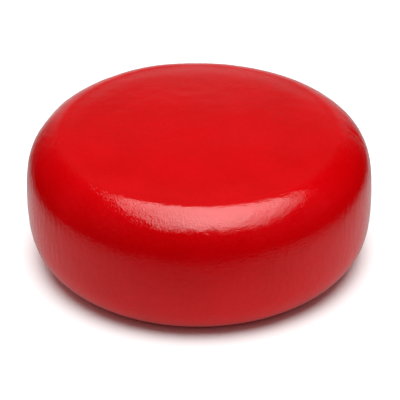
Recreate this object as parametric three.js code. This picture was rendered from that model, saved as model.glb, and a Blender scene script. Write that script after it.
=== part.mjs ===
// A whole uncut wheel of gouda in red wax, lying on its flat foot.
// Millimetres, +Z up. The origin is the middle of the foot, and the wheel's front faces -Y.

import * as THREE from 'three';

// Driving sizes

const WHEEL_DIAMETER = 250;

// How tightly the upright section bends, from the plumb side (slope 0) to the rim of the top.
// Between two slopes the bend radius passes smoothly from one to the other.
const BENDS = [
  { slope: 0, radius: 230 },
  { slope: 12, radius: 45 },
  { slope: 24, radius: 32 },
  { slope: 60, radius: 29 },
  { slope: 87, radius: 12 },
];

// A pressed cheese is a little out of round: slow waves round the side
const SIDE_WAVES = [
  { lobes: 2, height: 0.2, turn: 105 },
  { lobes: 3, height: 0.15, turn: 20 },
];

// The top isn't quite level: one slow swell across it
const TOP_SWELL = { lobes: 2, height: 0.4, turn: 140 };

// Places where the wheel stands out or falls short of its true section, each a soft mound or hollow
const LOCAL_FORMS = {
  fullBackShoulder: { turn: 110, slope: 60, rise: 0.6, halfLength: 30, halfWidth: 18 },
  slackLeftShoulder: { turn: 160, slope: 28, rise: -0.8, halfLength: 15, halfWidth: 14 },
  rightShoulderDent: { turn: 0, slope: 50, rise: -0.35, halfLength: 8, halfWidth: 5 },
};

// Fineness of the mesh
const SEGMENTS_AROUND = 112;
const STATIONS_PER_BEND = [5, 2, 6, 5];
const WALK_STEPS = 40;
const CROWN_RINGS = 5;
const FOOT_RINGS = 2;

// Finish of the wax
const WAX_COLOUR = 0xc4060d;
const WAX_ROUGHNESS = 0.28;

const { degToRad, lerp, smoothstep } = THREE.MathUtils;
const LEVEL = degToRad(90);
const EQUATOR_RADIUS = WHEEL_DIAMETER / 2;
const SHOULDER_RADIUS = BENDS[3].radius;

// One ring of the section: how far out, how high above the equator, and the slope of its outward normal
function station(radius, height, slope) {
  return { radius, height, slope };
}

// The bend radius at a share of the way from one bend to the next
function bendRadius(from, to, share) {
  const eased = smoothstep(share, 0, 1);
  return Math.exp(lerp(Math.log(from.radius), Math.log(to.radius), eased));
}

// The next station: the section walks on in small straight steps while its slope turns to the goal
function walkOn(start, from, to, goal) {
  const first = degToRad(from.slope);
  const span = degToRad(to.slope) - first;
  const turn = (goal - start.slope) / WALK_STEPS;
  let { radius, height } = start;
  for (let step = 0; step < WALK_STEPS; step += 1) {
    const slope = start.slope + (step + 0.5) * turn;
    const stride = bendRadius(from, to, (slope - first) / span) * turn;
    radius -= stride * Math.sin(slope);
    height += stride * Math.cos(slope);
  }
  return station(radius, height, goal);
}

// From the equator up to the rim of the top
function flankSection() {
  const stations = [station(EQUATOR_RADIUS, 0, 0)];
  STATIONS_PER_BEND.forEach((count, index) => {
    const from = BENDS[index];
    const to = BENDS[index + 1];
    for (let step = 1; step <= count; step += 1) {
      const goal = degToRad(lerp(from.slope, to.slope, step / count));
      stations.push(walkOn(stations[stations.length - 1], from, to, goal));
    }
  });
  return stations;
}

// The domed top: a flat cap of a sphere that leaves the rim at the rim's own slope
function crownSection(rim) {
  const domeRadius = rim.radius / Math.cos(rim.slope);
  const stations = [];
  for (let ring = 1; ring <= CROWN_RINGS; ring += 1) {
    const radius = rim.radius * (1 - ring / CROWN_RINGS);
    const slope = Math.acos(radius / domeRadius);
    const height = rim.height + domeRadius * (Math.sin(slope) - Math.sin(rim.slope));
    stations.push(station(radius, height, slope));
  }
  return stations;
}

// The foot: a level disc, pressed flat by the wheel's own weight
function footSection(rim) {
  const stations = [];
  for (let ring = FOOT_RINGS; ring >= 0; ring -= 1) {
    stations.push(station(rim.radius * (1 - ring / FOOT_RINGS), -rim.height, -LEVEL));
  }
  return stations;
}

// The whole section, from the middle of the foot, round the side, to the middle of the top
function wheelSection() {
  const upper = flankSection();
  const rim = upper[upper.length - 1];
  const lower = upper
    .slice(1, -1)
    .map((at) => station(at.radius, -at.height, -at.slope))
    .reverse();
  return [...footSection(rim), ...lower, ...upper, ...crownSection(rim)];
}

function wave({ lobes, height, turn }, angle) {
  return height * Math.cos(lobes * (angle - degToRad(turn)));
}

// How far one local form lifts or sinks the surface at a place on the wheel
function localRise({ turn, slope, rise, halfLength, halfWidth }, angle, at) {
  const away = angle - degToRad(turn);
  const around = Math.atan2(Math.sin(away), Math.cos(away)) * at.radius;
  const along = around / halfLength;
  const across = ((at.slope - degToRad(slope)) * SHOULDER_RADIUS) / halfWidth;
  return rise * Math.exp(-(along * along + across * across));
}

// How far the wax stands out from the true section, square to its surface
function unevenness(angle, at) {
  const plumb = Math.cos(at.slope);
  const upward = Math.max(0, Math.sin(at.slope));
  const outward = at.radius / EQUATOR_RADIUS;
  const side = SIDE_WAVES.reduce((sum, lobe) => sum + wave(lobe, angle), 0);
  const top = upward * outward * outward * wave(TOP_SWELL, angle);
  const local = Object.values(LOCAL_FORMS).reduce((sum, form) => sum + localRise(form, angle, at), 0);
  return plumb * side + top + local;
}

function surfacePoint(angle, at) {
  const offset = at.slope === -LEVEL ? 0 : unevenness(angle, at);
  const radius = at.radius + offset * Math.cos(at.slope);
  const height = at.height + offset * Math.sin(at.slope);
  return [radius * Math.cos(angle), radius * Math.sin(angle), height];
}

// A closed skin: one point at each pole and a ring of points for each station between them
function skin(stations) {
  const rings = stations.slice(1, -1);
  const positions = [[0, 0, stations[0].height]];
  for (const ring of rings) {
    for (let step = 0; step < SEGMENTS_AROUND; step += 1) {
      positions.push(surfacePoint((2 * Math.PI * step) / SEGMENTS_AROUND, ring));
    }
  }
  positions.push([0, 0, stations[stations.length - 1].height]);

  const corner = (ring, step) => 1 + ring * SEGMENTS_AROUND + (step % SEGMENTS_AROUND);
  const topPole = positions.length - 1;
  const lastRing = rings.length - 1;
  const triangles = [];
  for (let step = 0; step < SEGMENTS_AROUND; step += 1) {
    triangles.push(0, corner(0, step + 1), corner(0, step));
    for (let ring = 0; ring < lastRing; ring += 1) {
      const a = corner(ring, step);
      const b = corner(ring, step + 1);
      const c = corner(ring + 1, step + 1);
      const d = corner(ring + 1, step);
      triangles.push(a, b, c, a, c, d);
    }
    triangles.push(corner(lastRing, step), corner(lastRing, step + 1), topPole);
  }

  const geometry = new THREE.BufferGeometry();
  geometry.setAttribute('position', new THREE.Float32BufferAttribute(positions.flat(), 3));
  geometry.setIndex(triangles);
  return geometry;
}

// Moves the skin so that its foot is at height 0 and its box is centred on the origin
function standOnOrigin(geometry) {
  geometry.computeBoundingBox();
  const { min, max } = geometry.boundingBox;
  geometry.translate(-(min.x + max.x) / 2, -(min.y + max.y) / 2, -min.z);
  geometry.computeVertexNormals();
  return geometry;
}

function waxMaterial() {
  return new THREE.MeshStandardMaterial({
    color: WAX_COLOUR,
    roughness: WAX_ROUGHNESS,
    metalness: 0,
  });
}

function waxedWheel() {
  const wheel = new THREE.Mesh(standOnOrigin(skin(wheelSection())), waxMaterial());
  wheel.name = 'waxed_wheel';
  return wheel;
}

const cheese = new THREE.Group();
cheese.add(waxedWheel());

export default cheese;
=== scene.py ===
"""A whole gouda wheel in red wax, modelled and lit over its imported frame.

Lengths are in metres, and angles in degrees unless their note says radians. The axes are the frame's own: +Z
is up, and the wheel's front faces -Y. The classes hold its form, the finish of its wax and the studio.
"""

import logging
import math
from collections.abc import Sequence
from dataclasses import dataclass
from enum import Enum

import bpy
import numpy as np
from mathutils import Matrix, Vector


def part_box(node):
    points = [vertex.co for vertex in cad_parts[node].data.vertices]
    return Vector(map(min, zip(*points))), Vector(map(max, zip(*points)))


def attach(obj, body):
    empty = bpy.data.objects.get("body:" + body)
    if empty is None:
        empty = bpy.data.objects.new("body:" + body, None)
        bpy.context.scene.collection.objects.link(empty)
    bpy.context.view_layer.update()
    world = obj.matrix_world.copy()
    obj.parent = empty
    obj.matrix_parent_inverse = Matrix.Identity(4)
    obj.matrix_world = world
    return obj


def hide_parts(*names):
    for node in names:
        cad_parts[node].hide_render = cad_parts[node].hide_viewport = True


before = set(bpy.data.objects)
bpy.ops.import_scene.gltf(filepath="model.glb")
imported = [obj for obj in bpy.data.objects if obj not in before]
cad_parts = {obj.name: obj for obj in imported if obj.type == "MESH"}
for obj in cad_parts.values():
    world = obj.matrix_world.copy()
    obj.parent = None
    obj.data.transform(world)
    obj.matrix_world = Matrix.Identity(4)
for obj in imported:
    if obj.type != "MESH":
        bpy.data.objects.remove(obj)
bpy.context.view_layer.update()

WHEEL_NODE = "waxed_wheel"
ROOT_BODY = "root"
WAX_SLOT = "red_wax"
MM = 0.001

# Short names for the types that the methods pass on; a walk is radius, height and slope along the section
Piece = bpy.types.Object
Socket = bpy.types.NodeSocket
Pair = tuple[float, float]
Triple = tuple[float, float, float]
Array = np.ndarray
Walk = tuple[Array, Array, Array]
LampStand = tuple[bpy.types.Light, Vector, Matrix]

# Most values of a noise lie within its bulk, and about half of them within its core
NOISE_BULK = (0.3, 0.7)
NOISE_CORE = (0.35, 0.65)

log = logging.getLogger("gouda")


def smooth_step(value: Array, start: float, end: float) -> Array:
    """Eases from 0 to 1 as a value passes from its start to its end, level at both."""
    share = np.clip((value - start) / (end - start), 0.0, 1.0)
    return share * share * (3.0 - 2.0 * share)


def turn_between(angles: Array, turn: float) -> Array:
    """Measures how far each angle is past a turn given in degrees, in radians from -pi to pi."""
    away = angles - math.radians(turn)
    return np.arctan2(np.sin(away), np.cos(away))


def new_piece(name: str, data: bpy.types.ID) -> Piece:
    """Makes an object and links it to the scene.

    Args:
        name: The object's name.
        data: Its mesh, lamp or lens.

    Returns:
        The object.
    """
    piece = bpy.data.objects.new(name, data)
    bpy.context.scene.collection.objects.link(piece)
    return piece


@dataclass(frozen=True)
class Places:
    """Places on the wheel's skin, one array entry each.

    Attributes:
        angle: Turn about the upright axis, in radians.
        radius: Distance from the axis.
        height: Height above the equator.
        slope: How far the normal is raised from level, in radians.
        section: The wheel's upright section.
    """

    angle: Array
    radius: Array
    height: Array
    slope: Array
    section: "Section"

    def points(self, offset: Array | float = 0.0) -> Array:
        """Gives the places as points, each moved out along its normal.

        Args:
            offset: How far out each place moves.

        Returns:
            An array of points, one row each.
        """
        radius = self.radius + offset * np.cos(self.slope)
        height = self.height + offset * np.sin(self.slope)
        return np.stack([radius * np.cos(self.angle), radius * np.sin(self.angle), height], axis=1)


@dataclass(frozen=True)
class Bend:
    """How tightly the upright section bends at one slope.

    Attributes:
        slope: The slope in degrees, 0 on the plumb side and 90 on a level top.
        radius: The bend radius, as a share of the wheel's diameter.
    """

    slope: float
    radius: float


@dataclass(frozen=True)
class Section:
    """The wheel's upright section, from the middle of the foot round to the middle of the top.

    Attributes:
        diameter: The wheel's diameter.
        bends: The bend radii from the side up to the rim of the top.
        shoulder_bend: Which of the bends is the upper shoulder's.
        fineness: How many places each stretch of the section is worked out at.
    """

    diameter: float
    bends: tuple[Bend, ...] = (
        Bend(0, 0.92), Bend(12, 0.18), Bend(24, 0.128), Bend(60, 0.116), Bend(87, 0.048),
    )
    shoulder_bend: int = 3
    fineness: int = 600

    def shoulder_radius(self) -> float:
        """Gives the bend radius on the upper shoulder."""
        return self.bends[self.shoulder_bend].radius * self.diameter

    def bend_radius(self, slope: Array) -> Array:
        """Works out the bend radius at each slope, passing smoothly from bend to bend.

        Args:
            slope: Slopes in degrees.

        Returns:
            The bend radii.
        """
        log_radius = np.full_like(slope, math.log(self.bends[0].radius))
        for low, high in zip(self.bends, self.bends[1:]):
            share = smooth_step(slope, low.slope, high.slope)
            log_radius += share * math.log(high.radius / low.radius)
        return np.exp(log_radius) * self.diameter

    def flank(self) -> Walk:
        """Walks from the equator up to the rim of the top.

        Returns:
            The radius, height above the equator, and slope in radians along the walk.
        """
        degrees = np.linspace(self.bends[0].slope, self.bends[-1].slope, self.fineness)
        slope = np.radians(degrees)
        middle = (slope[1:] + slope[:-1]) / 2
        stride = self.bend_radius(np.degrees(middle)) * np.diff(slope)
        radius = self.diameter / 2 - np.concatenate([[0.0], np.cumsum(stride * np.sin(middle))])
        height = np.concatenate([[0.0], np.cumsum(stride * np.cos(middle))])
        return radius, height, slope

    def whole(self) -> Walk:
        """Joins the foot, the lower and upper flank and the domed top.

        Returns:
            The section's radius, height and slope.
        """
        radius, height, slope = self.flank()
        rim_radius, rim_height, rim_slope = radius[-1], height[-1], slope[-1]
        foot = np.linspace(0.0, rim_radius, self.fineness, endpoint=False)
        crown = np.linspace(rim_radius, 0.0, self.fineness)[1:]
        dome_radius = rim_radius / math.cos(rim_slope)
        crown_slope = np.arccos(crown / dome_radius)
        crown_height = rim_height + dome_radius * (np.sin(crown_slope) - math.sin(rim_slope))
        level = np.full_like(foot, -math.pi / 2)
        return (
            np.concatenate([foot, radius[:0:-1], radius, crown]),
            np.concatenate([np.full_like(foot, -rim_height), -height[:0:-1], height, crown_height]),
            np.concatenate([level, -slope[:0:-1], slope, crown_slope]),
        )

    def at_shares(self, shares: Array) -> Walk:
        """Finds the places below which the given shares of the wheel's skin lie.

        Args:
            shares: Shares of the skin's area, counted from the middle of the foot.

        Returns:
            The section's radius, height and slope at each share.
        """
        radius, height, slope = self.whole()
        band = (radius[1:] + radius[:-1]) * np.hypot(np.diff(radius), np.diff(height))
        area = np.concatenate([[0.0], np.cumsum(band)])
        rank = np.arange(len(area))
        along = np.interp(shares * area[-1], area, rank)
        return tuple(np.interp(along, rank, line) for line in (radius, height, slope))


@dataclass(frozen=True)
class Lobes:
    """A slow wave round the wheel.

    Attributes:
        lobes: How many times it swells in one turn.
        height: How far it swells.
        turn: Where its first crest is, in degrees.
    """

    lobes: int
    height: float
    turn: float

    def heights(self, angle: Array) -> Array:
        """Gives the swell at each angle."""
        return self.height * np.cos(self.lobes * turn_between(angle, self.turn))


@dataclass(frozen=True)
class LocalForm:
    """A soft mound, or a hollow where its rise is negative.

    Attributes:
        turn: Its place round the wheel, in degrees.
        slope: Its place on the shoulder, as a slope in degrees.
        rise: How far it stands out.
        half_length: Its half size round the wheel.
        half_width: Its half size up the shoulder.
    """

    turn: float
    slope: float
    rise: float
    half_length: float
    half_width: float

    def heights(self, places: Places) -> Array:
        """Works out how far the form stands out at each place.

        Args:
            places: The places on the skin.

        Returns:
            The rise at each place.
        """
        along = turn_between(places.angle, self.turn) * places.radius / self.half_length
        shoulder = places.section.shoulder_radius()
        across = (places.slope - math.radians(self.slope)) * shoulder / self.half_width
        return self.rise * np.exp(-(along**2 + across**2))


@dataclass(frozen=True)
class Crease:
    """A short pinch in the wax, with a lip along each side.

    Attributes:
        start: Turn and slope of one end, in degrees.
        end: Turn and slope of the other end, in degrees.
        depth: How deep the pinch is.
        lip: How high its lips stand.
        half_width: The pinch's half width.
        end_power: How abruptly it stops at its ends.
    """

    start: Pair
    end: Pair
    depth: float
    lip: float
    half_width: float
    end_power: int = 4

    def heights(self, places: Places) -> Array:
        """Works out the pinch and its lips at each place.

        Args:
            places: The places on the skin.

        Returns:
            The rise at each place, negative in the pinch.
        """
        shoulder = places.section.shoulder_radius()
        middle_turn = (self.start[0] + self.end[0]) / 2
        middle_slope = math.radians((self.start[1] + self.end[1]) / 2)
        around = turn_between(places.angle, middle_turn) * places.radius
        upward = (places.slope - middle_slope) * shoulder
        near = np.abs(upward) < self.half_width
        run = np.radians(self.end[0] - self.start[0]) * np.median(places.radius[near])
        climb = math.radians(self.end[1] - self.start[1]) * shoulder
        length = math.hypot(run, climb)
        along = (around * run + upward * climb) / length
        across = (upward * run - around * climb) / length / self.half_width
        taper = np.exp(-((2.0 * along / length) ** self.end_power))
        groove = -self.depth * np.exp(-(across**2))
        lips = self.lip * across**2 * np.exp(-(across**2) / 2.0)
        return taper * (groove + lips)


@dataclass(frozen=True)
class WaveField:
    """Random relief of one size, as a sum of plane waves.

    Attributes:
        wavelength: The size of the relief.
        height: Its root mean square height.
        seed: The seed of its random draw.
        count: How many waves are summed.
        spread: How far the wavelengths differ, as a natural logarithm.
    """

    wavelength: float
    height: float
    seed: int
    count: int = 70
    spread: float = 0.35

    def heights(self, points: Array) -> Array:
        """Works out the relief at each point.

        Args:
            points: Points in space, one row each.

        Returns:
            The relief's height at each point.
        """
        draw = np.random.default_rng(self.seed)
        directions = draw.normal(size=(self.count, 3))
        directions /= np.linalg.norm(directions, axis=1, keepdims=True)
        lengths = self.wavelength * np.exp(draw.uniform(-self.spread, self.spread, self.count))
        phases = draw.uniform(0.0, 2.0 * math.pi, self.count)
        total = np.zeros(len(points))
        for direction, length, phase in zip(directions, lengths, phases):
            total += np.cos(points @ direction * (2.0 * math.pi / length) + phase)
        return self.height * total * math.sqrt(2.0 / self.count)


@dataclass(frozen=True)
class Strokes:
    """Low ridges in the wax, as dipping and wiping leave them.

    Attributes:
        length: How long the ridges are, round the wheel.
        width: How wide they are, up the section.
        height: Their root mean square height.
        slopes: The slopes in degrees where they begin, are full, are last full, and end.
        seed: The seed of their random draw.
        count: How many waves are summed.
        spread: How far their lengths and widths differ, as a natural logarithm.
    """

    length: float
    width: float
    height: float
    slopes: tuple[float, float, float, float]
    seed: int
    count: int = 90
    spread: float = 0.5

    def heights(self, places: Places) -> Array:
        """Works out the ridges at each place.

        Args:
            places: The places on the skin.

        Returns:
            The height at each place.
        """
        draw = np.random.default_rng(self.seed)
        scale = np.exp(draw.uniform(-self.spread, self.spread, (2, self.count)))
        waves_round = math.pi * places.section.diameter / (self.length * scale[0])
        lobes = np.round(waves_round) * draw.choice((-1, 1), self.count)
        turns = 2.0 * math.pi * places.section.shoulder_radius() / (self.width * scale[1])
        phases = draw.uniform(0.0, 2.0 * math.pi, self.count)
        total = np.zeros(len(places.angle))
        for lobe, turn, phase in zip(lobes, turns, phases):
            total += np.cos(lobe * places.angle + turn * places.slope + phase)
        degrees = np.degrees(places.slope)
        begin, full, last, end = self.slopes
        shown = smooth_step(degrees, begin, full) * smooth_step(degrees, end, last)
        return self.height * shown * total * math.sqrt(2.0 / self.count)


class CubeSide(Enum):
    """The six sides of the cube that the wheel's skin is laid out on, as its fixed axis and its end."""

    RIGHT = (0, 1)
    LEFT = (0, 0)
    BACK = (1, 1)
    FRONT = (1, 0)
    TOP = (2, 1)
    FOOT = (2, 0)


@dataclass(frozen=True)
class SkinGrid:
    """An even grid of four-sided faces over a ball, laid out on the sides of a cube.

    Attributes:
        steps: How many faces there are along each edge of the cube.
    """

    steps: int = 128

    def corner_keys(self, side: CubeSide) -> Array:
        """Numbers the corners of one side's faces.

        Args:
            side: The side of the cube.

        Returns:
            One row of four corner keys for each face, counter-clockwise from outside.
        """
        axis, end = side.value
        first, second = [other for other in range(3) if other != axis]
        row, column = np.meshgrid(np.arange(self.steps), np.arange(self.steps), indexing="ij")
        loop = [(0, 0), (1, 0), (1, 1), (0, 1)]
        if bool(end) == (axis == 1):
            loop.reverse()
        keys = []
        for row_step, column_step in loop:
            place = [None, None, None]
            place[axis] = np.full_like(row, end * self.steps)
            place[first] = row + row_step
            place[second] = column + column_step
            keys.append(self.key(*place).ravel())
        return np.stack(keys, axis=1)

    def key(self, x: Array, y: Array, z: Array) -> Array:
        """Gives one number for each lattice corner."""
        return (x * (self.steps + 1) + y) * (self.steps + 1) + z

    def build(self) -> tuple[Array, Array]:
        """Builds the whole grid.

        Returns:
            The directions of its corners, and the four corner numbers of each face.
        """
        corners = np.concatenate([self.corner_keys(side) for side in CubeSide])
        keys, faces = np.unique(corners, return_inverse=True)
        rest, z = np.divmod(keys, self.steps + 1)
        x, y = np.divmod(rest, self.steps + 1)
        lattice = np.stack([x, y, z], axis=1) / self.steps
        cube = np.tan((lattice - 0.5) * (math.pi / 2))
        directions = cube / np.linalg.norm(cube, axis=1, keepdims=True)
        return directions, faces.reshape(corners.shape)


class Detail(Enum):
    """How many finer layers a noise has."""

    PLAIN = 1.0
    FINE = 2.0
    CLOUDY = 3.0


class NodeBench:
    """A material's or world's node tree, with short ways to add and join its nodes."""

    def __init__(self, tree: bpy.types.NodeTree) -> None:
        """Clears the tree and keeps it."""
        self.tree = tree
        self.tree.nodes.clear()

    @classmethod
    def for_material(cls, name: str) -> tuple[bpy.types.Material, "NodeBench"]:
        """Makes a node material.

        Args:
            name: The material's name.

        Returns:
            The material and the bench of its nodes.
        """
        material = bpy.data.materials.new(name)
        material.use_nodes = True
        return material, cls(material.node_tree)

    def add(self, kind: str, **values: object) -> bpy.types.Node:
        """Adds a node.

        Args:
            kind: The node's type, without its ShaderNode prefix.
            **values: Settings of the node, by their own names.

        Returns:
            The new node.
        """
        node = self.tree.nodes.new("ShaderNode" + kind)
        for name, value in values.items():
            setattr(node, name, value)
        return node

    def join(self, source: Socket, target: Socket) -> None:
        """Links one socket to another."""
        self.tree.links.new(source, target)

    def show(self, surface: Socket, output: str = "OutputMaterial") -> None:
        """Sends the surface to the tree's own output."""
        self.join(surface, self.add(output).inputs["Surface"])

    def noise(self, size: float, detail: Detail) -> Socket:
        """Adds a noise fixed to the object.

        Args:
            size: The size of its patches.
            detail: How many finer layers it has.

        Returns:
            The noise's value.
        """
        noise = self.add("TexNoise")
        noise.inputs["Scale"].default_value = 1.0 / size
        noise.inputs["Detail"].default_value = detail.value
        self.join(self.add("TexCoord").outputs["Object"], noise.inputs["Vector"])
        return noise.outputs["Fac"]

    def spread(self, value: Socket, source: Pair, target: Pair) -> Socket:
        """Stretches a value from one range to another, held at its ends.

        Args:
            value: The value to stretch.
            source: The range that it comes from.
            target: The range that it goes to.

        Returns:
            The stretched value.
        """
        stretch = self.add("MapRange", clamp=True)
        for name, number in zip(("From Min", "From Max", "To Min", "To Max"), source + target):
            stretch.inputs[name].default_value = number
        self.join(value, stretch.inputs["Value"])
        return stretch.outputs["Result"]


class Along(Enum):
    """What a change runs along: one axis of its piece, or the way out from the piece's middle."""

    X = "X"
    Y = "Y"
    Z = "Z"
    OUTWARD = "Value"

    def place(self, bench: NodeBench) -> Socket:
        """Adds the place along it.

        Args:
            bench: The node tree.

        Returns:
            The place, in metres.
        """
        outward = self is Along.OUTWARD
        split = bench.add("VectorMath", operation="LENGTH") if outward else bench.add("SeparateXYZ")
        bench.join(bench.add("TexCoord").outputs["Object"], split.inputs[0])
        return split.outputs[self.value]


@dataclass(frozen=True)
class WaxFinish:
    """Glossy red cheese wax.

    Attributes:
        thin_red: Its colour where the coat is thin.
        deep_red: Its colour where the coat is thick.
        cloud_size: The size of the slow changes of colour.
        mottle_size: The size of the fine changes of colour.
        mottle_share: The share of the fine changes against the slow ones.
        roughness: The least and greatest roughness.
        grain_size: The size of the fine grain that breaks up its highlights.
        grain_depth: How deep the grain is.
        grain_shading: How much darker and lighter the grain makes the colour, as a share.
        shine: The least and greatest strength of its reflections, from fleck to fleck.
        fleck_size: The size of those flecks.
        pitting_size: The size of the softer pitting above the grain.
        pitting_depth: How deep the pitting is.
        calm_heights: The heights above the foot between which the grain and pitting calm down.
        calm_share: How much of them is left on the top.
        refraction: The wax's index of refraction.
    """

    thin_red: Triple = (0.66, 0.0006, 0.003)
    deep_red: Triple = (0.58, 0.0003, 0.0014)
    cloud_size: float = 45 * MM
    mottle_size: float = 3.5 * MM
    mottle_share: float = 0.35
    roughness: Pair = (0.05, 0.09)
    grain_size: float = 1.35 * MM
    grain_depth: float = 0.19 * MM
    grain_shading: float = 0.02
    shine: Pair = (0.455, 0.545)
    fleck_size: float = 0.6 * MM
    pitting_size: float = 3.2 * MM
    pitting_depth: float = 0.03 * MM
    calm_heights: Pair = (97.2 * MM, 99.4 * MM)
    calm_share: float = 0.2
    refraction: float = 1.38

    def material(self) -> bpy.types.Material:
        """Makes the material.

        Returns:
            The wax, as a node material.
        """
        wax, bench = NodeBench.for_material(WAX_SLOT)
        shader = bench.add("BsdfPrincipled")
        shader.inputs["IOR"].default_value = self.refraction
        looks = (self.colour, self.gloss, self.sparkle, self.grain)
        for look, name in zip(looks, ("Base Color", "Roughness", "Specular IOR Level", "Normal")):
            bench.join(look(bench), shader.inputs[name])
        bench.show(shader.outputs["BSDF"])
        return wax

    def colour(self, bench: NodeBench) -> Socket:
        """Mixes the thin and the deep red by slow clouds and fine mottling, and shades the grain.

        Args:
            bench: The node tree.

        Returns:
            The colour.
        """
        share = bench.add("Mix", data_type="FLOAT")
        share.inputs["Factor"].default_value = self.mottle_share
        bench.join(bench.noise(self.cloud_size, Detail.CLOUDY), share.inputs["A"])
        bench.join(bench.noise(self.mottle_size, Detail.FINE), share.inputs["B"])
        mix = bench.add("Mix", data_type="RGBA")
        colours = [socket for socket in mix.inputs if socket.type == "RGBA"]
        colours[0].default_value = (*self.deep_red, 1.0)
        colours[1].default_value = (*self.thin_red, 1.0)
        factor = bench.spread(share.outputs["Result"], NOISE_CORE, (0.0, 1.0))
        bench.join(factor, mix.inputs["Factor"])
        red = next(socket for socket in mix.outputs if socket.type == "RGBA")
        shade = (1.0 - self.grain_shading, 1.0 + self.grain_shading)
        grain = bench.spread(bench.noise(self.grain_size, Detail.PLAIN), NOISE_BULK, shade)
        shaded = bench.add("VectorMath", operation="SCALE")
        bench.join(red, shaded.inputs[0])
        bench.join(grain, shaded.inputs["Scale"])
        return shaded.outputs["Vector"]

    def gloss(self, bench: NodeBench) -> Socket:
        """Varies the roughness in slow patches, as a rubbed coat does."""
        patches = bench.noise(self.cloud_size / 2, Detail.CLOUDY)
        return bench.spread(patches, NOISE_BULK, self.roughness)

    def sparkle(self, bench: NodeBench) -> Socket:
        """Varies the strength of the reflections from fleck to fleck."""
        flecks = bench.noise(self.fleck_size, Detail.PLAIN)
        return bench.spread(flecks, NOISE_CORE, self.shine)

    def grain(self, bench: NodeBench) -> Socket:
        """Lays the fine grain over the softer pitting.

        Args:
            bench: The node tree.

        Returns:
            The shaded normal.
        """
        strength = bench.spread(Along.Z.place(bench), self.calm_heights, (1.0, self.calm_share))
        normal = None
        for size, depth in ((self.pitting_size, self.pitting_depth), (self.grain_size, self.grain_depth)):
            bump = bench.add("Bump")
            bump.inputs["Distance"].default_value = depth
            bench.join(strength, bump.inputs["Strength"])
            bench.join(bench.noise(size, Detail.PLAIN), bump.inputs["Height"])
            if normal is not None:
                bench.join(normal, bump.inputs["Normal"])
            normal = bump.outputs["Normal"]
        return normal


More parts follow.
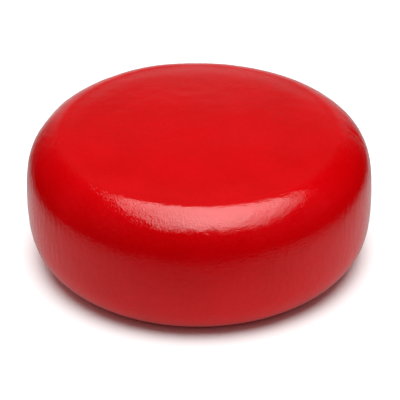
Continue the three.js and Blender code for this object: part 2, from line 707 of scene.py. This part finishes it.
@dataclass
class WaxedWheel:
    """The wheel's skin of wax, from its section and all that is uneven about it.

    Attributes:
        section: The upright section.
        finish: The wax's finish.
        grid: The grid that its skin is laid out on.
        side_waves: Slow waves round the side.
        top_swell: The swell across the top.
        local_forms: Mounds and hollows of the shoulder.
        creases: The pinches in the right shoulder.
        slow_relief: Broad unevenness of the pressed cheese.
        ripples: Sags and runs of the wax.
        pitting: The finest relief that the mesh holds.
        strokes: Ridges round the upper shoulder.
        streaks: Fine upright runs on the side.
        ripple_patch: Where the ripples are strongest, with how much stronger as its rise.
        top_calm: The slopes in degrees between which the relief calms down towards the top.
        top_relief: How much of the relief is left on the top.
        rim_ease: How far the rim of the top is rubbed down.
        rim_width: How far that reaches to each side of the rim.
        rim_bend: The bend radius just below the rim, as a share of the shoulder's.
        foot_fade: The slopes in degrees between which the relief fades towards the foot.
        foot_relief: How much of the relief is left, as shallow hollows, under the foot.
    """

    section: Section
    finish: WaxFinish = WaxFinish()
    grid: SkinGrid = SkinGrid()
    side_waves: tuple[Lobes, ...] = (Lobes(2, 0.2 * MM, 105), Lobes(3, 0.15 * MM, 20))
    top_swell: Lobes = Lobes(2, 0.4 * MM, 140)
    local_forms: tuple[LocalForm, ...] = (
        LocalForm(110, 60, 0.6 * MM, 30 * MM, 18 * MM),
        LocalForm(160, 28, -0.8 * MM, 15 * MM, 14 * MM),
        LocalForm(0, 50, -0.35 * MM, 8 * MM, 5 * MM),
    )
    creases: tuple[Crease, ...] = (
        Crease((3.0, 58.5), (1.2, 44.0), 0.45 * MM, 0.18 * MM, 1.6 * MM),
        Crease((0.0, 40.0), (-1.0, 33.0), 0.3 * MM, 0.1 * MM, 1.6 * MM),
    )
    slow_relief: WaveField = WaveField(45 * MM, 0.05 * MM, seed=11)
    ripples: WaveField = WaveField(15 * MM, 0.025 * MM, seed=23)
    pitting: WaveField = WaveField(6.5 * MM, 0.012 * MM, seed=37)
    strokes: Strokes = Strokes(16 * MM, 7 * MM, 0.03 * MM, (8, 28, 66, 80), seed=53)
    streaks: Strokes = Strokes(5 * MM, 6 * MM, 0.046 * MM, (-72, -45, 14, 34), seed=71)
    ripple_patch: LocalForm = LocalForm(137, 86, 0.4, 32 * MM, 30 * MM)
    top_calm: Pair = (70.0, 87.0)
    top_relief: float = 0.35
    rim_ease: float = 0.42 * MM
    rim_width: float = 10 * MM
    rim_bend: float = 0.5
    foot_fade: Pair = (-86.0, -66.0)
    foot_relief: float = 0.5

    def places(self, directions: Array) -> Places:
        """Lays the grid's corners on the section, so that each face covers about the same area.

        Args:
            directions: The grid's directions, one row each.

        Returns:
            The places of the corners.
        """
        angle = np.arctan2(directions[:, 1], directions[:, 0])
        radius, height, slope = self.section.at_shares((1.0 + directions[:, 2]) / 2)
        return Places(angle, radius, height, slope, self.section)

    def true_form(self, places: Places) -> Array:
        """Works out the large unevenness, which the solid also has.

        Args:
            places: The places on the skin.

        Returns:
            How far each place stands out from the section.
        """
        outward = places.radius / (self.section.diameter / 2)
        upward = np.clip(np.sin(places.slope), 0.0, None)
        side = sum(wave.heights(places.angle) for wave in self.side_waves)
        local = sum(form.heights(places) for form in self.local_forms)
        offset = np.cos(places.slope) * side + local
        return offset + upward * outward**2 * self.top_swell.heights(places.angle)

    def relief(self, places: Places) -> Array:
        """Works out the fine unevenness of the wax, which only this mesh has.

        Args:
            places: The places on the skin.

        Returns:
            How far each place stands out from the true form.
        """
        points = places.points()
        rippled = 1.0 + self.ripple_patch.heights(places)
        waxen = rippled * (self.ripples.heights(points) + self.pitting.heights(points))
        wiped = self.strokes.heights(places) + self.streaks.heights(places)
        uneven = self.slow_relief.heights(points) + waxen + wiped
        degrees = np.degrees(places.slope)
        shown = smooth_step(degrees, *self.foot_fade)
        under_foot = (1.0 - shown) * self.foot_relief * np.abs(waxen)
        calmed = 1.0 - (1.0 - self.top_relief) * smooth_step(degrees, *self.top_calm)
        pinches = sum(crease.heights(places) for crease in self.creases)
        return calmed * shown * uneven - under_foot + pinches - self.rubbed_rim(places)

    def rubbed_rim(self, places: Places) -> Array:
        """Works out how far the rim of the top is rubbed down.

        Args:
            places: The places on the skin.

        Returns:
            How far the wax is rubbed down at each place.
        """
        radius, _, slope = self.section.flank()
        bend = self.section.shoulder_radius() * self.rim_bend
        down_shoulder = (slope[-1] - places.slope) * bend
        past_rim = np.where(places.slope > slope[-1], places.radius - radius[-1], down_shoulder)
        return self.rim_ease * np.exp(-((past_rim / self.rim_width) ** 2))

    def mesh(self) -> bpy.types.Mesh:
        """Builds the skin and stands it on the middle of the frame's foot.

        Returns:
            The mesh, smooth-shaded.
        """
        directions, faces = self.grid.build()
        places = self.places(directions)
        points = places.points(self.true_form(places) + self.relief(places))
        low, high = (np.array(corner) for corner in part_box(WHEEL_NODE))
        points -= (points.min(axis=0) + points.max(axis=0)) / 2
        points += (low + high) / 2
        points[:, 2] += low[2] - points[:, 2].min()
        mesh = bpy.data.meshes.new(WHEEL_NODE)
        mesh.from_pydata(points.tolist(), [], faces.tolist())
        mesh.polygons.foreach_set("use_smooth", np.ones(len(faces), dtype=bool))
        mesh.update()
        return mesh

    def build(self) -> Piece:
        """Makes the wheel, dresses it, and lets it stand for its solid.

        Returns:
            The dressed wheel.
        """
        wheel = new_piece("gouda_in_red_wax", self.mesh())
        wheel.data.materials.append(self.finish.material())
        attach(wheel, ROOT_BODY)
        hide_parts(WHEEL_NODE)
        return wheel


class SeenBy(Enum):
    """Which rays meet a stage piece, as its camera, diffuse and glossy rays."""

    CAMERA = (True, False, False)
    WAX_COLOUR = (False, True, False)
    WAX_GLOSS = (False, False, True)

    def apply(self, piece: Piece) -> None:
        """Sets which rays meet the piece, and keeps it from throwing a shadow."""
        piece.visible_camera, piece.visible_diffuse, piece.visible_glossy = self.value
        piece.visible_shadow = False


@dataclass(frozen=True)
class PlainPaint:
    """A plain finish of the studio's own pieces.

    Attributes:
        name: The material's name.
        colour: Its colour.
    """

    name: str
    colour: Triple

    def material(self) -> bpy.types.Material:
        """Makes the material.

        Returns:
            The matt paint, as a node material.
        """
        paint, bench = NodeBench.for_material(self.name)
        matt = bench.add("BsdfDiffuse")
        matt.inputs["Color"].default_value = (*self.colour, 1.0)
        bench.show(matt.outputs["BSDF"])
        return paint


@dataclass(frozen=True)
class Fade:
    """How a glow changes across its piece.

    Attributes:
        along: What it runs along.
        stops: Pairs of a place, in the glow's own unit, and the share of the glow's brightness there.
    """

    along: Along
    stops: tuple[Pair, ...]

    def share(self, bench: NodeBench, unit: float) -> Socket:
        """Adds the fade.

        Args:
            bench: The node tree.
            unit: The glow's unit, in metres.

        Returns:
            The share of the glow's brightness.
        """
        low, high = self.stops[0][0], self.stops[-1][0]
        ramp = bench.add("ValToRGB")
        elements = ramp.color_ramp.elements
        while len(elements) < len(self.stops):
            elements.new(position=0.5)
        for element, (position, level) in zip(elements, self.stops):
            element.position = (position - low) / (high - low)
            element.color = (level, level, level, 1.0)
        passed = bench.spread(self.along.place(bench), (low * unit, high * unit), (0.0, 1.0))
        bench.join(passed, ramp.inputs["Fac"])
        return ramp.outputs["Color"]


class Sampling(Enum):
    """How rays find a glow: by chance alone, or also aimed straight at it."""

    BY_CHANCE = "NONE"
    AIMED = "FRONT_BACK"


@dataclass(frozen=True)
class Glow:
    """A glowing finish that fades across its piece.

    Attributes:
        name: The material's name.
        brightness: Its full brightness.
        unit: The unit of its fades, in metres.
        fades: Its fades.
        colour: Its colour.
        sampling: How rays find it.
    """

    name: str
    brightness: float
    unit: float
    fades: tuple[Fade, ...]
    colour: Triple = (1.0, 1.0, 1.0)
    sampling: Sampling = Sampling.BY_CHANCE

    def material(self) -> bpy.types.Material:
        """Makes the material.

        Returns:
            The glow, as a node material.
        """
        glow, bench = NodeBench.for_material(self.name)
        glow.cycles.emission_sampling = self.sampling.value
        strength = None
        for fade in self.fades:
            product = bench.add("Math", operation="MULTIPLY")
            product.inputs[0].default_value = self.brightness
            if strength is not None:
                bench.join(strength, product.inputs[0])
            bench.join(fade.share(bench, self.unit), product.inputs[1])
            strength = product.outputs["Value"]
        light = bench.add("Emission")
        light.inputs["Color"].default_value = (*self.colour, 1.0)
        bench.join(strength, light.inputs["Strength"])
        bench.show(light.outputs["Emission"])
        return glow


@dataclass(frozen=True)
class StagePiece:
    """A plain piece of the studio.

    Attributes:
        name: The piece's name.
        finish: Its finish.
        seen_by: Which rays meet it.
    """

    name: str
    finish: PlainPaint | Glow
    seen_by: SeenBy

    def place(self, points: list[Sequence[float]], faces: list[list[int]]) -> Piece:
        """Makes the piece from its points and faces, and sets which rays meet it.

        Args:
            points: Its points.
            faces: Its faces, each as a list of point numbers.

        Returns:
            The piece.
        """
        mesh = bpy.data.meshes.new(self.name)
        mesh.from_pydata(points, [], faces)
        mesh.materials.append(self.finish.material())
        piece = new_piece(self.name, mesh)
        self.seen_by.apply(piece)
        return piece


@dataclass(frozen=True)
class Sheet(StagePiece):
    """A flat level sheet, as a floor or as the face of a light.

    Attributes:
        corners: Its corners in order, each as X and Y in its own unit.
        unit: That unit, in metres.
        height: Its height above the wheel's foot.
    """

    corners: Sequence[Pair]
    unit: float
    height: float

    def build(self) -> Piece:
        """Makes the sheet."""
        points = [(x * self.unit, y * self.unit, self.height) for x, y in self.corners]
        return self.place(points, [list(range(len(points)))])


@dataclass(frozen=True)
class RoomDome(StagePiece):
    """The dark room that the wax mirrors, with its pale far end straight behind the wheel.

    Attributes:
        radius: The dome's radius.
        steps: How fine its mesh is.
    """

    radius: float
    steps: int = 16

    def build(self) -> Piece:
        """Makes the dome."""
        directions, faces = SkinGrid(steps=self.steps).build()
        return self.place((directions * self.radius).tolist(), faces.tolist())


@dataclass(frozen=True)
class StudioLight:
    """A soft light that lights only some pieces and isn't mirrored. Each kind makes its own lamp.

    Attributes:
        name: The light's name.
        level: How bright it makes white paint that faces it at the middle of the wheel.
    """

    name: str
    level: float

    def build(self, centre: Vector, reach: float, lit: list[Piece]) -> Piece:
        """Makes the light and links it to the pieces that it lights.

        Args:
            centre: The middle of the wheel.
            reach: The wheel's radius.
            lit: The pieces that it lights.

        Returns:
            The light.
        """
        lamp, away, turn = self.lamp(reach)
        light = new_piece(self.name, lamp)
        light.matrix_world = Matrix.Translation(centre + away) @ turn
        light.visible_glossy = False
        receivers = bpy.data.collections.new("lit_by_" + self.name)
        for piece in lit:
            receivers.objects.link(piece)
        light.light_linking.receiver_collection = receivers
        return light


@dataclass(frozen=True)
class ConeLight(StudioLight):
    """A very distant light that fills a cone evenly.

    Attributes:
        angle: The cone's full angle, in degrees.
        towards: Which way the middle of the cone lies from the wheel.
    """

    angle: float
    towards: Triple = (0.0, 0.0, 1.0)

    def lamp(self, reach: float) -> LampStand:
        """Makes the lamp.

        Args:
            reach: The wheel's radius.

        Returns:
            The lamp, its stand from the middle of the wheel, and its turn.
        """
        lamp = bpy.data.lights.new(self.name, "SUN")
        lamp.energy = math.pi * self.level
        lamp.angle = math.radians(self.angle)
        away = Vector(self.towards)
        return lamp, away * reach, away.to_track_quat("Z", "Y").to_matrix().to_4x4()


@dataclass(frozen=True)
class PanelLight(StudioLight):
    """A square light panel that faces straight down.

    Attributes:
        side: The panel's side, in wheel radii.
        stand: Where it stands from the middle of the wheel, in wheel radii.
    """

    side: float
    stand: Triple

    def lamp(self, reach: float) -> LampStand:
        """Makes the lamp.

        Args:
            reach: The wheel's radius.

        Returns:
            The lamp, its stand from the middle of the wheel, and its turn.
        """
        away = Vector(self.stand) * reach
        lamp = bpy.data.lights.new(self.name, "AREA")
        lamp.shape = "SQUARE"
        lamp.size = self.side * reach
        lamp.energy = self.level * math.pi**2 * away.length**3 / away.z
        return lamp, away, Matrix.Identity(4)


@dataclass(frozen=True)
class PhotoCamera:
    """The camera, at the photograph's viewing angle.

    Attributes:
        elevation: How steeply it looks down, in degrees.
        distance: How far it stands from the middle of the wheel, in wheel radii.
        pixels_per_radius: How many pixels one wheel radius takes at the middle of the wheel.
        image_width: The image's width in pixels.
        middle: Where the middle of the wheel falls in the image, in pixels from its upper left.
        roll: How far the camera is turned about its own line of sight, in degrees.
        sensor_width: The sensor's width, in millimetres.
    """

    elevation: float = 31.0
    distance: float = 14.0
    pixels_per_radius: float = 172.2
    image_width: int = 400
    middle: Pair = (199.4, 189.4)
    roll: float = -0.5
    sensor_width: float = 36.0

    def build(self, centre: Vector, reach: float) -> Piece:
        """Makes the camera and makes it the scene's own.

        Args:
            centre: The middle of the wheel, at its equator.
            reach: The wheel's radius.

        Returns:
            The camera.
        """
        tilt = math.radians(self.elevation)
        backward = Vector((0.0, -math.cos(tilt), math.sin(tilt)))
        right = Vector((1.0, 0.0, 0.0))
        upward = backward.cross(right)
        pixel = reach / self.pixels_per_radius
        half = self.image_width / 2
        aim = centre - right * (self.middle[0] - half) * pixel + upward * (self.middle[1] - half) * pixel
        place = centre + backward * self.distance * reach
        look = (aim - place).to_track_quat("-Z", "Y").to_matrix().to_4x4()
        lens = bpy.data.cameras.new("photo_camera")
        lens.sensor_width = self.sensor_width
        lens.lens = self.pixels_per_radius * self.distance * self.sensor_width / self.image_width
        camera = new_piece("photo_camera", lens)
        roll = Matrix.Rotation(math.radians(self.roll), 4, "Z")
        camera.matrix_world = Matrix.Translation(place) @ look @ roll
        bpy.context.scene.camera = camera
        return camera


@dataclass
class Studio:
    """The plain pale floor, the soft light and the camera, with every reach in wheel radii.

    Attributes:
        centre: The middle of the wheel, at its equator.
        reach: The wheel's radius.
        floor_lights: The lights on the floor that the camera sees.
        wax_lights: The lights that bring out the wax's colour.
        floor_step: How far each floor lies below the last, so that no two meet.
        floor_sides: How many straight sides a floor's rim has.
        pale_reach: The radius of the floor that the camera sees.
        pale_colour: That floor's colour.
        lit_reach: The radius of the floor that lights the wax.
        mirrored_reach: The radius of the floor that the wax mirrors.
        bounce: How brightly that floor lights the wax.
        bounce_fades: How that light falls off, in wheel radii, with the wheel's shadow painted in under its
            foot.
        mirrored: How bright the floor is where the wax mirrors it.
        mirrored_fades: How that brightness falls off, in wheel radii, as a painted shadow and pool of light.
        dome_reach: The radius of the room.
        dome_brightness: How bright the room's pale end is.
        dome_glow: How the room darkens away from its pale end, in shares of its radius.
        softbox_reach: The height of the wide soft light that the wax mirrors.
        softbox_corners: Its corners, each as X and Y for one unit of height.
        softbox_glow: How its light falls off from its middle, for one unit of height.
        softbox_brightness: How bright its middle is.
        softbox_colour: Its colour, which the wax's own red warms.
    """

    centre: Vector
    reach: float
    floor_lights: tuple[StudioLight, ...] = (
        ConeLight("floor_light", 1.44, angle=57, towards=(0.02, -0.02, 1.0)),
        ConeLight("floor_fill_light", 0.28, angle=115),
    )
    wax_lights: tuple[StudioLight, ...] = (
        ConeLight("wax_soft_light", 0.46, angle=170),
        ConeLight("wax_left_light", 0.34, angle=80, towards=(-0.99, 0.0, 0.14)),
        ConeLight("wax_right_light", 0.45, angle=80, towards=(0.71, -0.41, 0.57)),
        PanelLight("wax_key_light", 0.34, side=1.0, stand=(0.0, -0.6, 4.0)),
    )
    floor_step: float = 0.1 * MM
    floor_sides: int = 96
    pale_reach: float = 60.0
    pale_colour: Triple = (0.88, 0.92, 0.92)
    lit_reach: float = 3.2
    mirrored_reach: float = 2.3
    bounce: float = 0.82
    # The glow is painted dark under the wheel's foot, as its shadow, and fades out towards the floor's edge.
    bounce_fades: tuple[Fade, ...] = (
        Fade(Along.OUTWARD, (
            (0.75, 0.0), (0.88, 0.2), (0.96, 0.8), (1.05, 1.0), (1.4, 0.95), (1.7, 0.8), (2.2, 0.3),
            (2.7, 0.0),
        )),
    )
    mirrored: float = 1.0
    # Painted shadow of the wheel under its foot and dark past the floor's edge, then a painted pool of light
    # across the floor.
    mirrored_fades: tuple[Fade, ...] = (
        Fade(Along.OUTWARD, (
            (0.75, 0.0), (0.88, 0.2), (0.95, 0.52), (1.02, 0.75), (1.1, 0.88), (1.25, 1.0),
            (2.1, 1.0), (2.2, 0.7), (2.3, 0.35),
        )),
        Fade(Along.Y, (
            (-2.4, 0.17), (-2.1, 0.26), (-1.8, 0.34), (-1.5, 0.46), (-1.2, 0.56), (-0.9, 0.58),
            (-0.2, 0.6), (0.5, 0.62), (0.8, 0.5), (1.1, 0.5), (1.5, 0.75), (2.0, 0.85),
        )),
        Fade(Along.X, (
            (-2.4, 0.05), (-2.16, 0.23), (-1.95, 0.45), (-1.8, 0.7), (-1.65, 0.92), (-1.4, 0.95),
            (-0.5, 0.95), (0.5, 1.0), (1.65, 1.0), (1.88, 0.6), (2.06, 0.4), (2.3, 0.2),
        )),
    )
    dome_reach: float = 60.0
    dome_brightness: float = 1.0
    dome_glow: tuple[Fade, ...] = (
        Fade(Along.X, (
            (-0.7, 0.0), (-0.55, 0.08), (-0.46, 0.2), (-0.42, 0.28), (-0.36, 0.45), (-0.29, 0.72),
            (-0.16, 0.93), (0.0, 1.0), (0.16, 0.88), (0.25, 0.64), (0.29, 0.54), (0.38, 0.38),
            (0.45, 0.18), (0.55, 0.05), (0.7, 0.0),
        )),
        Fade(Along.Y, ((-0.1, 0.0), (0.1, 1.0))),
        Fade(Along.Z, (
            (-0.35, 1.0), (-0.2, 0.9), (0.0, 0.75), (0.14, 0.73), (0.28, 0.65), (0.34, 0.52),
            (0.39, 0.34), (0.44, 0.18), (0.48, 0.11), (0.515, 0.13), (0.55, 0.09), (0.58, 0.07),
            (0.6, 0.11), (0.66, 0.14), (0.75, 0.18), (1.0, 0.25),
        )),
    )
    softbox_reach: float = 16.0
    softbox_corners: tuple[Pair, ...] = (
        (-0.62, -1.18), (1.1, -1.18), (1.1, -0.6), (0.94, 0.0), (0.5, 0.28), (0.3, 0.25),
        (0.14, 0.27), (0.03, 0.34), (-0.1, 0.46), (-0.2, 0.5), (-0.32, 0.42), (-0.5, 0.3),
        (-0.58, 0.1),
    )
    softbox_glow: tuple[Fade, ...] = (
        Fade(Along.X, (
            (-0.62, 0.2), (-0.5, 0.35), (-0.4, 0.5), (-0.3, 0.7), (-0.15, 0.91), (0.2, 1.0),
            (0.32, 0.93), (0.45, 0.77), (0.75, 0.41), (1.0, 0.22),
        )),
        Fade(Along.Y, (
            (-1.18, 0.46), (-1.06, 0.68), (-0.95, 0.82), (-0.75, 0.93), (-0.45, 1.0), (0.0, 0.9),
            (0.35, 0.76),
        )),
    )
    softbox_brightness: float = 9.7
    softbox_colour: Triple = (1.2, 1.0, 1.0)

    def floors(self) -> list[Piece]:
        """Makes the floor three times: for the camera, for the wax's colour and for its gloss.

        Returns:
            The floors.
        """
        paint = PlainPaint("pale_paint", self.pale_colour)
        # The floors for the wax's colour and gloss are glowing sheets, with the lit floor and the wheel's
        # shadow painted into their glow.
        bounce = Glow("bounce_glow", self.bounce, self.reach, self.bounce_fades, sampling=Sampling.AIMED)
        mirror = Glow("mirrored_glow", self.mirrored, self.reach, self.mirrored_fades)
        plans = (
            ("pale_floor", paint, SeenBy.CAMERA, self.pale_reach),
            ("bounce_floor", bounce, SeenBy.WAX_COLOUR, self.lit_reach),
            ("mirrored_floor", mirror, SeenBy.WAX_GLOSS, self.mirrored_reach),
        )
        turns = np.linspace(0.0, 2.0 * math.pi, self.floor_sides, endpoint=False)
        rim = [(math.cos(turn), math.sin(turn)) for turn in turns]
        return [
            Sheet(name, finish, seen_by, rim, reach * self.reach, -layer * self.floor_step).build()
            for layer, (name, finish, seen_by, reach) in enumerate(plans, start=1)
        ]

    def build(self, wheel: Piece) -> list[Piece]:
        """Makes the whole studio.

        Args:
            wheel: The wheel that it lights.

        Returns:
            Its pieces, lights and camera.
        """
        floors = self.floors()
        radius = self.dome_reach * self.reach
        glow = Glow("room_glow", self.dome_brightness, radius, self.dome_glow)
        dome = RoomDome("room_dome", glow, SeenBy.WAX_GLOSS, radius).build()
        height = self.softbox_reach * self.reach
        glow = Glow("softbox_glow", self.softbox_brightness, height, self.softbox_glow, self.softbox_colour)
        softbox = Sheet("softbox", glow, SeenBy.WAX_GLOSS, self.softbox_corners, height, height).build()
        lights = [light.build(self.centre, self.reach, floors[:1]) for light in self.floor_lights]
        lights += [light.build(self.centre, self.reach, [wheel]) for light in self.wax_lights]
        camera = PhotoCamera().build(self.centre, self.reach)
        self.white_background()
        self.plain_colours()
        return [*floors, dome, softbox, *lights, camera]

    @staticmethod
    def white_background() -> None:
        """Puts plain white behind the floor, which the camera alone sees."""
        world = bpy.data.worlds.new("white_background")
        world.use_nodes = True
        bench = NodeBench(world.node_tree)
        white = bench.add("Background")
        white.inputs["Color"].default_value = (1.0, 1.0, 1.0, 1.0)
        bench.show(white.outputs["Background"], output="OutputWorld")
        for ray in ("diffuse", "glossy", "transmission", "scatter"):
            setattr(world.cycles_visibility, ray, False)
        bpy.context.scene.world = world

    @staticmethod
    def plain_colours() -> None:
        """Shows colours as they are, so that the red stays a full red and the floor white."""
        view = bpy.context.scene.view_settings
        view.view_transform, view.look = "Standard", "None"
        view.exposure, view.gamma = 0.0, 1.0


def main() -> None:
    """Builds the wheel and the studio in order, and reports each piece."""
    logging.basicConfig(level=logging.INFO, format="%(name)s: %(message)s")
    low, high = (np.array(corner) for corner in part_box(WHEEL_NODE))
    diameter = float(high[0] - low[0] + high[1] - low[1]) / 2
    section = Section(diameter)
    wheel = WaxedWheel(section).build()
    log.info("%s: %d faces", wheel.name, len(wheel.data.polygons))
    equator = float(section.flank()[1][-1]) + float(low[2])
    centre = Vector(((low[0] + high[0]) / 2, (low[1] + high[1]) / 2, equator))
    for piece in Studio(centre, diameter / 2).build(wheel):
        log.info("%s: %s", piece.name, piece.type.lower())


if __name__ == "__main__":
    main()
